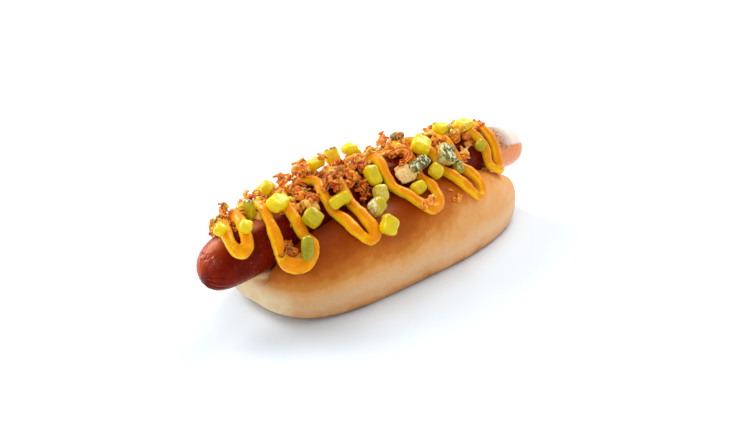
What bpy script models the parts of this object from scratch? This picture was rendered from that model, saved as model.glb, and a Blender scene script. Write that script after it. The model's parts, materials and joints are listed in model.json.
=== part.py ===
"""A hot dog: a split bun with a long sausage in it, a zigzag of mustard, diced pickle and fried onion.

Metres, +Z up. X runs along the hot dog, the bun rests on z = 0, and the origin is the middle of its base.
"""

import math
import random

import bmesh
import bpy
from mathutils import Euler, Vector
from mathutils.bvhtree import BVHTree

MM = 0.001
COLLECTION = "hot_dog"

# Bun: the closed loaf is 165 mm long; the split halves lean out to 65 mm across the belly.
BUN_HALF_LENGTH = 82.5 * MM
BUN_HALF_WIDTH = 32.5 * MM
BUN_HEIGHT = 39.0 * MM
BUN_BELLY = 0.32            # height of the widest line, as a share of the local height
BUN_BASE = 0.93             # half width of the flat base, as a share of the half width
BUN_LIP = 0.43              # how far out the rim of the split is, as a share of the half width
# The left end is square and full, the right end long and pointed: (plan, side) exponents and the tip's lift.
BUN_LEFT = (3.8, 3.6, 5.0 * MM)
BUN_RIGHT = (2.05, 2.0, 5.5 * MM)
BUN_RINGS = 34
BUN_KEEL = 0.55             # half width of the middle strip of the base, as a share of the base
BUN_LIP_OUTSIDE = 0.85      # the rim of the split is at most this far out, as a share of the half width
BUN_LIP_WALL = 2.0 * MM     # and at least this far outside the sausage
BUN_RIM_DROP = (4.0 * MM, 0.25)     # the crumb starts this far below the top at most, and as a share of it
BUN_CRUMB = (0.6, 0.9)      # the crumb meets the rim between these shares of the rim's width
BUN_FLANK = (0.8, 3)        # roundness and steps of the side below its widest line
BUN_SHOULDER = (0.88, 5)    # and above it
BUN_CUT = (0.93, 0.8, 0.55, 0.25, 0.0)      # steps across the split, as shares of the crumb's width
BUN_CUT_SHARPNESS = 1.5

# Sausage: 195.7 mm long and 23.4 mm thick, a little stouter on the left, arched over the bun.
SAUSAGE_LEFT = -106.7 * MM
SAUSAGE_RIGHT = 89.0 * MM
SAUSAGE_RADIUS = 11.7 * MM
SAUSAGE_TAPER = 0.0025      # radius lost for each metre of length, in metres
SAUSAGE_BLUNT = 1.35        # how much blunter than a half ball the right end is
SAUSAGE_CREST = (6.0 * MM, 37.4 * MM)
SAUSAGE_ARCH_RADIUS = 575.0 * MM
SAUSAGE_SIDES = 24
SAUSAGE_RINGS = (40, 8)     # in all, and round each end
SAUSAGE_CAP = 0.9           # how much of the quarter turn at an end its rings share out
CRADLE_GAP = 0.5 * MM
CUT_DEPTH = 5.0 * MM        # how far the knife cut goes on below the sausage

# Mustard: one bead, 5.2 mm thick at the left and 4.7 mm at the right, laid over the sausage and the bun.
BEAD_RADIUS = 2.6 * MM
BEAD_TAPER = 0.0015         # radius lost for each metre along X, in metres
BEAD_STEP = 2.3 * MM
BEAD_TIP = (0.55, 0.25)     # thickness of the bead at its ends, and what each step adds, as shares
# Where it turns, seen from above, as (x, y) in millimetres: a bend on the -Y side, then one on the +Y side.
MUSTARD_TURNS = [
    (-91, 8), (-94, 1), (-96.5, -5), (-97.3, -9), (-96, -11.3), (-93.6, -12.2), (-91.2, -10.8),
    (-89.5, -6.5), (-87, -1), (-85, 7), (-81, 11), (-76.5, 9.5), (-75, 3),
    (-77, -4), (-79, -12), (-78.5, -18.5), (-75, -23), (-70.5, -24.5), (-67, -21.5), (-67, -15),
    (-68, -9), (-67, -3), (-62, 6), (-58, 13), (-53, 14), (-49, 8), (-47, 0),
    (-50, -9), (-49, -20), (-48, -27), (-44, -30.5), (-40, -29.5), (-41, -23), (-40, -14), (-39, -4),
    (-35, 6), (-30, 13), (-24, 14), (-18, 8), (-14, -2),
    (-16, -13), (-14, -22), (-10.5, -27.5), (-6, -30), (-1, -29.5), (1.5, -24.5), (1.5, -15), (2.5, -6),
    (4, 5), (7, 13), (11.5, 13), (13.5, 5), (14.5, -6),
    (16.5, -15), (18.5, -23), (21.8, -28.2), (26, -30.2), (30, -28.4), (31, -24), (29.5, -18.5),
    (28.5, -12), (29, -4), (31, 5), (35, 12), (40.5, 12), (44.5, 5), (47.5, -4),
    (49.5, -10), (50.6, -14.5), (52.2, -17.8), (54.6, -19), (57, -17.6), (57.6, -13.5), (57.4, -9),
    (58, -3), (60, 3), (61, 8),
]

# Toppings are pressed on towards a line inside the bun, at this height over the table.
CORE_HEIGHT = 22.0 * MM
CORE_REACH = (46.0 * MM, 12.0 * MM)     # a topping comes in from the first distance to the second at most
CORE_STEPS = (2.0 * MM, 0.5 * MM, 0.1 * MM)
TOPPING_GAP = 0.3 * MM
TOPPING_SKIN = 1.5          # a topping's corners are kept this many gaps away
SLIDE = 1.6                 # how far a topping may slide along X, in mm, and around, twice as many degrees
SLIDE_GAIN = 0.3 * MM       # it slides only if that brings it this much lower
DROP_HEIGHT = 80.0 * MM     # mustard comes down from here
TOUCH = 0.01 * MM
PICKLE_BEVEL = 0.7 * MM
PICKLE_UNEVEN = 0.25        # how unlike the edges of a cut cube are
ONION_RINGS = 6
ONION_SIDES = 6
ONION_UNEVEN = 0.3
ONION_END = 0.62            # width at the ends of a strip, as a share of its middle
ONION_SWERVE = 0.12         # how far a strip wanders sideways, as a share of its width
# Diced pickle: place along X, lean towards -Y in degrees, (length, width, height), spin and tilt in degrees.
PICKLES = [
    (-98, 8, (4.7, 4.0, 3.4), 20, 15), (-89, 18, (5, 4.5, 3.5), 50, 15), (-81, -3, (3.0, 5, 7.5), 3, 0),
    (-71.5, 11, (10.5, 7, 3.6), 15, 12), (-66, -10, (4.5, 4.5, 4.5), 40, 20), (-65.2, 36, (7.5, 7.6, 5), 20, -5),
    (-71.8, 64, (9, 4.2, 3.2), 78, 10), (-40, -12, (9.5, 6, 4), 20, 5), (-23, -24, (6.5, 6, 7.5), 50, -5),
    (-25, -4, (6, 5, 3.8), 0, 10), (-46.5, 33, (11, 4.8, 3), 8, 20), (-8.5, -15, (8.5, 5, 3.4), 10, -10),
    (-23, 21, (9.2, 6.2, 4.2), 85, 26), (-26, 44, (7, 6, 5), 75, 5), (-33, 54, (7.5, 6, 4.5), 20, 5),
    (-37.5, 70, (8, 7, 5.5), 50, -8), (6.5, 13, (8, 8, 5.5), 35, 14), (7, -9, (6, 5.5, 3.4), 15, -10),
    (-4.5, 52, (6.6, 5.2, 3.6), 10, 5), (5, 44, (6, 5.6, 4), 40, 5), (0.5, 27, (11.5, 5, 3), 12, 24),
    (18.5, 27, (9, 7.5, 5), 60, 24), (31.5, 1, (8, 6, 4), 5, -5), (46.5, 4, (9.5, 6.5, 3.6), 5, 5),
    (46, 27, (5.5, 4.5, 2.8), 30, 24), (24.5, 39, (6.5, 4.5, 3.2), 70, 10),
    (-60, -38, (8, 7, 6), 30, -15), (-14, -34, (8, 6.5, 6), 70, -10), (24, -30, (8, 7, 6), 15, -20),
]
# Fried onion: place along X, lean in degrees, (length, width, thickness), curl, spin and tilt in degrees.
ONIONS = [
    (-78, 56, (6, 4.5, 1.8), 70, 65, 10), (-56, 14, (8, 6, 2), 60, 20, 15), (-45, 16, (10, 8, 3), 90, 40, 20),
    (-27, 6, (13, 8, 3), 80, 10, 15), (-30, 27, (9, 5, 2), 60, 50, 30), (2, -11, (8, 7, 3), 110, 30, 20),
    (-6, 7, (14, 5, 2.5), 120, 5, 20), (-6, 30, (10.5, 8, 3), 60, 15, 22), (-10.5, 64, (9, 5, 2), 40, 10, 10),
    (35, 25, (7, 5, 2), 130, 50, 20), (53.5, 11, (7, 5, 2.5), 80, 20, 10),
    (-88, -16, (6, 4, 2), 70, 60, 20), (-55, -22, (8.5, 6, 3), 80, 10, 20),
    (-52, -17, (8.5, 6, 3), 100, 70, 10), (-49, -11, (8.5, 7, 3), 60, 40, 25),
    (-68, -34, (10, 7.5, 3), 60, 30, 10), (-33, -36, (11, 7.5, 3), 80, 15, 15),
    (5, -36, (10, 7.5, 3), 90, 50, 10), (42, -30, (10, 7, 3), 70, 25, 15),
]


def clear_scene():
    for thing in list(bpy.data.objects):
        bpy.data.objects.remove(thing)


def make_material(name, colour, roughness):
    """A plain food surface: colour, roughness, no metal."""
    material = bpy.data.materials.new(name)
    material.use_nodes = True
    shader = material.node_tree.nodes["Principled BSDF"]
    shader.inputs["Base Color"].default_value = (*colour, 1.0)
    shader.inputs["Roughness"].default_value = roughness
    shader.inputs["Metallic"].default_value = 0.0
    return material


def sausage_axis(x):
    """Height of the sausage's centre line: a shallow arch."""
    crest_x, crest_z = SAUSAGE_CREST
    return crest_z - (x - crest_x) ** 2 / (2 * SAUSAGE_ARCH_RADIUS)


def sausage_radius(x):
    return SAUSAGE_RADIUS - SAUSAGE_TAPER * x


def quarter(start, end, power, steps, from_side):
    """Points after start along a quarter of a superellipse, which leaves start upright or level."""
    points = []
    for step in range(1, steps + 1):
        angle = 0.5 * math.pi * step / steps
        slow, fast = 1 - max(math.cos(angle), 0.0) ** power, math.sin(angle) ** power
        share_y, share_z = (slow, fast) if from_side else (fast, slow)
        points.append((start[0] + (end[0] - start[0]) * share_y, start[1] + (end[1] - start[1]) * share_z))
    return points


def bun_outline(x):
    """Half of the bun's section at x, as (y, z), from the middle of the base round to the split's foot."""
    share = x / BUN_HALF_LENGTH
    plan, side, lift = BUN_LEFT if share < 0 else BUN_RIGHT
    low = lift * abs(share) ** 5
    top = low + (BUN_HEIGHT - low) * (1 - abs(share) ** side) ** (1 / side)
    half_width = BUN_HALF_WIDTH * (1 - abs(share) ** plan) ** (1 / plan)
    cradle = sausage_radius(x) + CRADLE_GAP
    centre = sausage_axis(x)

    base = BUN_BASE * half_width
    belly = (half_width, low + BUN_BELLY * (top - low))
    lip = (min(max(BUN_LIP * half_width, cradle + BUN_LIP_WALL), BUN_LIP_OUTSIDE * half_width), top)
    rim = top - min(BUN_RIM_DROP[0], BUN_RIM_DROP[1] * (top - low))
    reach = math.sqrt(max(cradle ** 2 - min(rim - centre, 0.0) ** 2, 0.0))
    inner = (min(max(reach, BUN_CRUMB[0] * lip[0]), BUN_CRUMB[1] * lip[0]), rim)

    outline = [(0.0, low), (BUN_KEEL * base, low), (base, low)]
    outline += quarter(outline[-1], belly, *BUN_FLANK, False)
    outline += quarter(belly, lip, *BUN_SHOULDER, True)
    outline += quarter(lip, inner, 1.0, 2, False)
    cut = CUT_DEPTH * (1 - share ** 2)
    for across in BUN_CUT:
        y = across * inner[0]
        seat = centre - math.sqrt(max(cradle ** 2 - y ** 2, 0.0)) - cut * (1 - across) ** BUN_CUT_SHARPNESS
        outline.append((y, min(rim, seat)))
    return outline


def sausage_outline(x):
    """Half of the sausage's section at x, as (y, z), from its underside to its top."""
    middle = 0.5 * (SAUSAGE_LEFT + SAUSAGE_RIGHT)
    half_length = 0.5 * (SAUSAGE_RIGHT - SAUSAGE_LEFT)
    radius = sausage_radius(x)
    roundness = 2 * half_length / radius                # this power gives ends of the sausage's own radius
    if x > middle:
        roundness *= SAUSAGE_BLUNT
    radius *= math.sqrt(max(1 - abs((x - middle) / half_length) ** roundness, 0.0))
    half = SAUSAGE_SIDES // 2
    angles = [math.pi * k / half for k in range(half + 1)]
    return [(radius * math.sin(a), sausage_axis(x) - radius * math.cos(a)) for a in angles]


def skin_sphere(name, outline_at, stations, collection, material):
    """A UV sphere laid along X, each of its rings moved to the outline at one of the stations."""
    rings = len(stations) - 1
    half = len(outline_at(stations[rings // 2])) - 1
    mesh = bpy.data.meshes.new(name)
    form = bmesh.new()
    bmesh.ops.create_uvsphere(form, u_segments=2 * half, v_segments=rings, radius=1.0)
    for vertex in form.verts:
        ring = round(rings * math.acos(max(-1.0, min(1.0, -vertex.co.z))) / math.pi)
        turn = round(math.atan2(vertex.co.x, -vertex.co.y) * half / math.pi)
        outline = outline_at(stations[ring])
        if ring in (0, rings):
            turn = 0
        y, z = outline[abs(turn)]
        vertex.co = (stations[ring], y if turn > 0 else -y, z)
    form.to_mesh(mesh)
    form.free()
    return add_object(name, mesh, collection, material)


def add_object(name, mesh, collection, material):
    thing = bpy.data.objects.new(name, mesh)
    collection.objects.link(thing)
    mesh.materials.append(material)
    mesh.shade_smooth()
    mesh.set_sharp_from_angle(angle=math.radians(50))
    return thing


def bun_stations():
    """Places along the bun, closest together where its ends round off."""
    half = BUN_RINGS // 2
    turns = [0.5 * math.pi * k / half for k in range(half + 1)]
    left = [-BUN_HALF_LENGTH * math.sin(turn) ** (2 / BUN_LEFT[0]) for turn in turns]
    right = [BUN_HALF_LENGTH * math.sin(turn) ** (2 / BUN_RIGHT[0]) for turn in turns]
    return left[:0:-1] + right


def capped_stations(left, right, radius, count, cap_count):
    """Places along X for a sausage shape: cap_count of them round each end, the rest between."""
    middle, half = 0.5 * (left + right), 0.5 * (right - left)
    power = radius / half
    turns = [0.5 * math.pi * SAUSAGE_CAP * k / cap_count for k in range(cap_count + 1)]
    cap = [half * math.cos(turn) ** power for turn in turns]
    body = count - 2 * cap_count
    inner = [cap[-1] * (1 - 2 * k / body) for k in range(1, body)]
    offsets = cap + inner + [-c for c in reversed(cap)]
    return [middle - c for c in offsets]


def smooth_path(turns):
    """A Catmull-Rom path through the turns, sampled about every BEAD_STEP."""
    turns = [Vector((x * MM, y * MM, 0.0)) for x, y in turns]
    turns = [2 * turns[0] - turns[1]] + turns + [2 * turns[-1] - turns[-2]]
    path = []
    for before, start, end, after in zip(turns, turns[1:], turns[2:], turns[3:]):
        steps = max(1, round((end - start).length / BEAD_STEP))
        for step in range(steps):
            t = step / steps
            path.append(0.5 * (2 * start + (end - before) * t
                               + (2 * before - 5 * start + 4 * end - after) * t ** 2
                               + (3 * start - before - 3 * end + after) * t ** 3))
    return path + [turns[-2]]


def rest_ball(x, y, radius, trees):
    """Height of the centre of a ball dropped at (x, y) when it meets what is in the trees."""
    place = Vector((x, y, DROP_HEIGHT))
    space = DROP_HEIGHT
    while space > TOUCH and place.z > 0:
        space = min(tree.find_nearest(place)[3] for tree in trees) - radius
        place.z -= max(space, 0.0)
    return place.z


def bvh(thing):
    """A BVH of an object as it is shown, its modifiers included."""
    shown = thing.evaluated_get(bpy.context.evaluated_depsgraph_get())
    mesh = shown.to_mesh()
    form = bmesh.new()
    form.from_mesh(mesh)
    shown.to_mesh_clear()
    tree = BVHTree.FromBMesh(form)
    form.free()
    return tree


def lay_mustard(collection, material, trees):
    """The bead of mustard: a curve over everything in the trees, skinned and closed."""
    curve = bpy.data.curves.new("mustard_path", "CURVE")
    curve.dimensions = "3D"
    curve.bevel_depth = 1.0
    curve.bevel_resolution = 1
    curve.use_fill_caps = True
    path = smooth_path(MUSTARD_TURNS)
    radii = [BEAD_RADIUS - BEAD_TAPER * (point.x - path[0].x) for point in path]
    for point, radius in zip(path, radii):
        point.z = rest_ball(point.x, point.y, radius + TOPPING_GAP, trees)
    spline = curve.splines.new("POLY")
    spline.points.add(len(path) - 1)
    for k, (point, radius) in enumerate(zip(path, radii)):
        ending = min(1.0, BEAD_TIP[0] + BEAD_TIP[1] * min(k, len(path) - 1 - k))
        spline.points[k].co = (*point, 1.0)
        spline.points[k].radius = radius * ending
    drawn = bpy.data.objects.new("mustard_path", curve)
    collection.objects.link(drawn)
    bpy.context.view_layer.update()
    mesh = bpy.data.meshes.new_from_object(drawn.evaluated_get(bpy.context.evaluated_depsgraph_get()))
    bpy.data.objects.remove(drawn)
    mesh.materials.clear()
    form = bmesh.new()
    form.from_mesh(mesh)
    bmesh.ops.remove_doubles(form, verts=form.verts, dist=0.001 * MM)
    bmesh.ops.recalc_face_normals(form, faces=form.faces)
    form.to_mesh(mesh)
    form.free()
    return add_object("mustard", mesh, collection, material)


def pickle_form(size, chance):
    """A cut cube with no two faces quite parallel."""
    form = bmesh.new()
    bmesh.ops.create_cube(form, size=1.0)
    for vertex in form.verts:
        for axis in range(3):
            vertex.co[axis] *= size[axis] * MM * (1 + PICKLE_UNEVEN * (chance.random() - 0.5))
    return form


def onion_form(size, curl, chance):
    """A ragged strip with a lens section, curled along its length."""
    length, width, thickness = (value * MM for value in size)
    form = bmesh.new()
    rings = []
    bend = math.radians(curl)
    for k in range(ONION_RINGS):
        share = k / (ONION_RINGS - 1) - 0.5
        breadth = width * (ONION_END + (1 - ONION_END) * math.cos(math.pi * share))
        breadth *= 1 + ONION_UNEVEN * (chance.random() - 0.5)
        middle = Vector((length / bend * math.sin(bend * share),
                         ONION_SWERVE * width * (chance.random() - 0.5),
                         length / bend * (math.cos(bend * share) - math.cos(0.5 * bend))))
        outward = Vector((math.sin(bend * share), 0.0, math.cos(bend * share)))
        ring = []
        for side in range(ONION_SIDES):
            turn = 2 * math.pi * side / ONION_SIDES
            rise = outward * (0.5 * thickness * math.sin(turn) * (1 + ONION_UNEVEN * (chance.random() - 0.5)))
            ring.append(form.verts.new(middle + Vector((0.0, 0.5 * breadth * math.cos(turn), 0.0)) + rise))
        rings.append(ring)
    for ring, following in zip(rings, rings[1:]):
        for side in range(ONION_SIDES):
            nearby = (side + 1) % ONION_SIDES
            form.faces.new((ring[side], following[side], following[nearby], ring[nearby]))
    form.faces.new(rings[0])
    form.faces.new(reversed(rings[-1]))
    bmesh.ops.recalc_face_normals(form, faces=form.faces)
    return form


def how_low(form, x, lean, trees):
    """The least distance from the core line at which a turned topping, put at x and lean, touches nothing."""
    start = Vector((x * MM, 0.0, CORE_HEIGHT))
    outward = Vector((0.0, -math.sin(math.radians(lean)), math.cos(math.radians(lean))))
    distance, nearest = CORE_REACH
    for step in CORE_STEPS:
        while distance > nearest:
            tried = form.copy()
            bmesh.ops.translate(tried, vec=start + outward * (distance - step), verts=tried.verts)
            tree = BVHTree.FromBMesh(tried)
            tried.free()
            if any(tree.overlap(other) for other in trees):
                break
            distance -= step
    return distance


def press_on(form, x, lean, spin, tilt, trees):
    """Turn a topping, move it in until it is about to touch something, and let it slide lower nearby."""
    leaned = Euler((math.radians(lean + tilt), 0.0, 0.0)).to_matrix()
    turn = leaned @ Euler((0.0, 0.0, math.radians(spin))).to_matrix()
    bmesh.ops.transform(form, matrix=turn.to_4x4(), verts=form.verts)
    form.normal_update()
    swollen = form.copy()
    for vertex in swollen.verts:
        vertex.co += vertex.normal * TOPPING_GAP * TOPPING_SKIN
    nearby = [(x + across * SLIDE, lean + 2.0 * around * SLIDE)
              for across in (0, -1, 1) for around in (0, -1, 1)]
    lows = [how_low(swollen, *place, trees) + SLIDE_GAIN * (place != nearby[0]) for place in nearby]
    distance = min(lows)
    x, lean = nearby[lows.index(distance)]
    swollen.free()
    outward = Vector((0.0, -math.sin(math.radians(lean)), math.cos(math.radians(lean))))
    bmesh.ops.translate(form, vec=Vector((x * MM, 0.0, CORE_HEIGHT)) + outward * distance, verts=form.verts)


def finish_topping(name, form, collection, material, bevel):
    mesh = bpy.data.meshes.new(name)
    form.to_mesh(mesh)
    form.free()
    thing = add_object(name, mesh, collection, material)
    if bevel:
        cut_edges = thing.modifiers.new("cut_edges", "BEVEL")
        cut_edges.width = bevel
        cut_edges.segments = 1
        cut_edges.limit_method = "NONE"
    bpy.context.view_layer.update()
    return thing


def main():
    clear_scene()
    collection = bpy.data.collections.new(COLLECTION)
    bpy.context.scene.collection.children.link(collection)
    crust = make_material("bun_crust", (0.55, 0.26, 0.07), 0.5)
    skin = make_material("sausage_skin", (0.25, 0.03, 0.012), 0.3)
    mustard_yellow = make_material("mustard", (0.75, 0.33, 0.01), 0.3)
    pickle_green = make_material("pickle", (0.55, 0.5, 0.03), 0.3)
    onion_brown = make_material("fried_onion", (0.5, 0.22, 0.07), 0.6)

    bun = skin_sphere("bun", bun_outline, bun_stations(), collection, crust)
    places = capped_stations(SAUSAGE_LEFT, SAUSAGE_RIGHT, SAUSAGE_RADIUS, *SAUSAGE_RINGS)
    sausage = skin_sphere("sausage", sausage_outline, places, collection, skin)
    bpy.context.view_layer.update()
    trees = [bvh(bun), bvh(sausage)]
    trees.append(bvh(lay_mustard(collection, mustard_yellow, trees)))

    chance = random.Random(7)
    toppings = []
    for number, (x, lean, size, spin, tilt) in enumerate(PICKLES, 1):
        toppings.append((f"pickle_{number:02d}", pickle_form(size, chance), x, lean, spin, tilt))
    for number, (x, lean, size, curl, spin, tilt) in enumerate(ONIONS, 1):
        toppings.append((f"onion_{number:02d}", onion_form(size, curl, chance), x, lean, spin, tilt))
    # The lowest toppings go on first, those on the crown last.
    toppings.sort(key=lambda topping: -abs(topping[3]))
    heap = bmesh.new()
    for name, form, x, lean, spin, tilt in toppings:
        press_on(form, x, lean, spin, tilt, trees[:3] + [BVHTree.FromBMesh(heap)])
        is_pickle = name.startswith("pickle")
        material, bevel = (pickle_green, PICKLE_BEVEL) if is_pickle else (onion_brown, 0.0)
        heap.from_mesh(finish_topping(name, form, collection, material, bevel).data)


main()
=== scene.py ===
# A hot dog: split bun, long sausage, a zigzag of mustard, diced pickle and fried onion. Metres, +Z up.
import json
import math
import random

import bpy
import numpy as np
from mathutils import Matrix, Vector
from mathutils.bvhtree import BVHTree

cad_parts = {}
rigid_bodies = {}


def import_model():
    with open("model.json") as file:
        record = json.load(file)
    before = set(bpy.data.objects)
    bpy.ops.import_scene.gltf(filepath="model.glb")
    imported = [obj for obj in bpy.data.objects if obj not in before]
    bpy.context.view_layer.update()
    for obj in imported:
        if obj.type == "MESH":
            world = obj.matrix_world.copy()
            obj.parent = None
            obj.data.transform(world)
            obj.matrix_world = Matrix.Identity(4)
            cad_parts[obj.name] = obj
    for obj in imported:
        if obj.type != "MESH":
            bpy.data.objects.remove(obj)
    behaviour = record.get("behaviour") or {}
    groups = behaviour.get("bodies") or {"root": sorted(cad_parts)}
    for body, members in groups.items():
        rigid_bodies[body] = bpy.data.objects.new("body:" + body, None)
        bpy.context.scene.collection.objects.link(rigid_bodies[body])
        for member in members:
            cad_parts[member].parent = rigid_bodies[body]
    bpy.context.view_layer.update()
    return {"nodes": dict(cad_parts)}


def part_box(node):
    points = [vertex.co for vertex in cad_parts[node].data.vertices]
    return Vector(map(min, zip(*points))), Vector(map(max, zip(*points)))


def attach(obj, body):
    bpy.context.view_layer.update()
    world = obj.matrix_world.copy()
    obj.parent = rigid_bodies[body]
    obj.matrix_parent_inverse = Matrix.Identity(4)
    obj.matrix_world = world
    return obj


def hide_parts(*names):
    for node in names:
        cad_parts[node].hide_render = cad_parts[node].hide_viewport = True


for thing in list(bpy.data.objects):
    bpy.data.objects.remove(thing)

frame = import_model()
nodes = frame["nodes"]
mm = 0.001
print("frame loaded:", len(nodes), "nodes")


def pickOnly(thing):
    if bpy.context.object and bpy.context.object.mode != "OBJECT":
        bpy.ops.object.mode_set(mode="OBJECT")
    bpy.ops.object.select_all(action="DESELECT")
    thing.select_set(True)
    bpy.context.view_layer.objects.active = thing


def selectNothing():
    # no point, edge or face of the active mesh
    bpy.ops.object.mode_set(mode="EDIT")
    bpy.ops.mesh.select_all(action="DESELECT")
    bpy.ops.object.mode_set(mode="OBJECT")


def shape(thing, kind, **values):
    # one modifier, set and applied
    pickOnly(thing)
    modifier = thing.modifiers.new(kind, kind)
    for name, value in values.items():
        setattr(modifier, name, value)
    bpy.ops.object.modifier_apply(modifier=modifier.name)


def soften(thing, levels):
    shape(thing, "SUBSURF", levels=levels, render_levels=levels)


def lumps(thing, size, height, depth=2, group=""):
    # uneven surface: bumps of that size, in and out along the normals
    texture = bpy.data.textures.new("lumps", "CLOUDS")
    texture.noise_scale = size
    texture.noise_depth = depth
    shape(thing, "DISPLACE", texture=texture, texture_coords="LOCAL", strength=height, mid_level=0.5,
          vertex_group=group)


def inflate(thing, height, group=""):
    shape(thing, "DISPLACE", strength=height, mid_level=0.0, vertex_group=group)


def nodeCopy(nodeName, pieceName):
    # the frame's own solid as one welded skin of quads, ready to be worked on
    nodes[nodeName].hide_viewport = False
    pickOnly(nodes[nodeName])
    bpy.ops.object.duplicate()
    piece = bpy.context.object
    piece.parent = None
    piece.name = piece.data.name = pieceName
    for key in list(piece.keys()):
        del piece[key]
    piece.data.materials.clear()
    bpy.ops.object.mode_set(mode="EDIT")
    bpy.ops.mesh.select_all(action="SELECT")
    bpy.ops.mesh.remove_doubles(threshold=0.01 * mm)
    bpy.ops.mesh.tris_convert_to_quads(face_threshold=math.radians(60), shape_threshold=math.radians(75))
    bpy.ops.mesh.mark_sharp(clear=True)
    bpy.ops.object.mode_set(mode="OBJECT")
    return piece


def points(thing):
    flat = np.empty(3 * len(thing.data.vertices), np.float32)
    thing.data.vertices.foreach_get("co", flat)
    return flat.reshape(-1, 3).astype(float)


def normals(thing):
    flat = np.empty(3 * len(thing.data.vertices), np.float32)
    thing.data.vertices.foreach_get("normal", flat)
    return flat.reshape(-1, 3).astype(float)


def paintValues(thing, name, values):
    # a number per point, for materials to read
    layer = thing.data.attributes.get(name) or thing.data.attributes.new(name, "FLOAT", "POINT")
    layer.data.foreach_set("value", np.asarray(values, np.float32))


def weights(thing, name, values):
    # a vertex group whose weights are given for all points, rounded into steps
    group = thing.vertex_groups.new(name=name)
    steps = np.round(np.clip(values, 0, 1) * 50).astype(int)
    for step in range(1, 51):
        members = np.nonzero(steps == step)[0]
        if len(members):
            group.add(members.tolist(), step / 50, "REPLACE")
    return name


def ramp(value, low, high):
    share = np.clip((np.asarray(value, float) - low) / (high - low), 0, 1)
    return share * share * (3 - 2 * share)


def skinTree(*things):
    # what lies there so far, for settling pieces on it
    corners, faces = [], []
    for thing in things:
        start = len(corners)
        corners += [v.co.copy() for v in thing.data.vertices]
        faces += [tuple(start + k for k in f.vertices) for f in thing.data.polygons]
    return BVHTree.FromPolygons(corners, faces)


def shadeSmooth(thing):
    pickOnly(thing)
    bpy.ops.object.shade_smooth()


def finishPiece(thing, material, slotName, *nodeNames):
    shadeSmooth(thing)
    thing.data.materials.clear()
    thing.data.materials.append(material)
    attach(thing, "root")
    if nodeNames:
        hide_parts(*nodeNames)


def paint(red, green, blue):
    # a colour as a painter's 0 to 255 values
    shares = [value / 255 for value in (red, green, blue)]
    return tuple(c / 12.92 if c <= 0.04045 else ((c + 0.055) / 1.055) ** 2.4 for c in shares) + (1.0,)


def newMaterial(name, **values):
    material = bpy.data.materials.new(name)
    material.use_nodes = True
    tree = material.node_tree
    surface = tree.nodes["Principled BSDF"]
    for socket, value in values.items():
        surface.inputs[socket.replace("_", " ")].default_value = value
    return material, tree, surface


def feed(tree, socket, value):
    # a socket gets a link or a fixed value
    if isinstance(value, bpy.types.NodeSocket):
        tree.links.new(value, socket)
    else:
        socket.default_value = value


def addNode(tree, kind, inputs=None, **values):
    made = tree.nodes.new("ShaderNode" + kind)
    for name, value in values.items():
        setattr(made, name, value)
    for name, value in (inputs or {}).items():
        feed(tree, made.inputs[name], value)
    return made


def millimetres(tree):
    # object coordinates in millimetres
    place = addNode(tree, "TexCoord").outputs["Object"]
    return addNode(tree, "Mapping", {"Vector": place, "Scale": (1000, 1000, 1000)}).outputs["Vector"]


def noise(tree, where, size, detail=2.0, rough=0.5, distortion=0.0):
    inputs = {"Vector": where, "Scale": 1 / size, "Detail": detail, "Roughness": rough,
              "Distortion": distortion}
    return addNode(tree, "TexNoise", inputs).outputs["Fac"]


def calc(tree, operation, first, second, clamp=False):
    made = addNode(tree, "Math", operation=operation, use_clamp=clamp)
    feed(tree, made.inputs[0], first)
    feed(tree, made.inputs[1], second)
    return made.outputs["Value"]


def spread(tree, value, low, high, toLow=0.0, toHigh=1.0):
    # a value carried smoothly from one range to another
    inputs = {"Value": value, "From Min": low, "From Max": high, "To Min": toLow, "To Max": toHigh}
    return addNode(tree, "MapRange", inputs, interpolation_type="SMOOTHSTEP").outputs["Result"]


def blendColours(tree, factor, first, second, kind="MIX"):
    # a Mix node keeps its colour sockets at 6, 7 and, on the way out, 2
    made = addNode(tree, "Mix", data_type="RGBA", blend_type=kind)
    for k, value in ((0, factor), (6, first), (7, second)):
        feed(tree, made.inputs[k], value)
    return made.outputs[2]


def shadeBy(tree, colour, share):
    # lighter or darker by a number
    grey = addNode(tree, "CombineColor", {"Red": share, "Green": share, "Blue": share}).outputs["Color"]
    return blendColours(tree, 1.0, colour, grey, "MULTIPLY")


def colourBand(tree, value, stops):
    made = addNode(tree, "ValToRGB", {"Fac": value})
    band = made.color_ramp
    band.interpolation = "EASE"
    while len(band.elements) < len(stops):
        band.elements.new(0.5)
    for element, (place, colour) in zip(band.elements, stops):
        element.position = place
        element.color = colour
    return made.outputs["Color"]


def bumps(tree, surface, *layers):
    # (height socket, distance in mm) from the coarsest to the finest
    below = None
    for height, distance in layers:
        inputs = {"Height": height, "Distance": distance * mm, "Strength": 1.0}
        if below:
            inputs["Normal"] = below
        below = addNode(tree, "Bump", inputs).outputs["Normal"]
    tree.links.new(below, surface.inputs["Normal"])


def attribute(tree, name):
    return addNode(tree, "Attribute", attribute_name=name).outputs["Fac"]


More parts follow.
